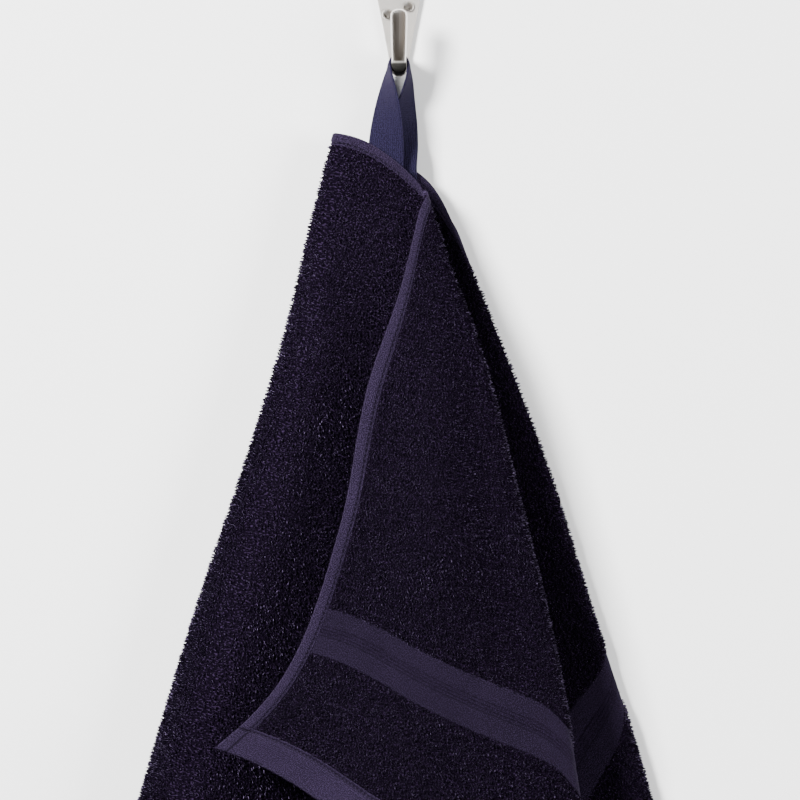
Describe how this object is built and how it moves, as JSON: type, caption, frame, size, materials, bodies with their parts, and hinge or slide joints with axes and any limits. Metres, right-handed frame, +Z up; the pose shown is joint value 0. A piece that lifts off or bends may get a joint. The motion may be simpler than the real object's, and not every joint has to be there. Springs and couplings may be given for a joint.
{
  "type": "hand towel on a wall hook",
  "caption": "Dark terry hand towel hung by a sewn tape loop from a small metal wall hook, gathered at the loop and falling in deep uneven folds.",
  "frame": {"origin": "the point of the hook plate's back face, between the screw holes, that lies on the wall", "axes": "+Y into the wall, square to it; +Z up, along the hanging towel; +X to the right as seen from in front"},
  "size_m": [0.3125, 0.0849, 0.6434],
  "materials": {
    "terry": "cotton terry pile, very dark navy with a purple cast",
    "tape": "flat woven cotton tape, dark blue",
    "nickel": "satin nickel plate on cast zinc",
    "screw_steel": "satin nickel plate"
  },
  "bodies": {
    "root": {"towel": "terry", "hanging_loop": "tape", "hook": "nickel", "screw_left": "screw_steel", "screw_right": "screw_steel"}
  },
  "joints": []
}
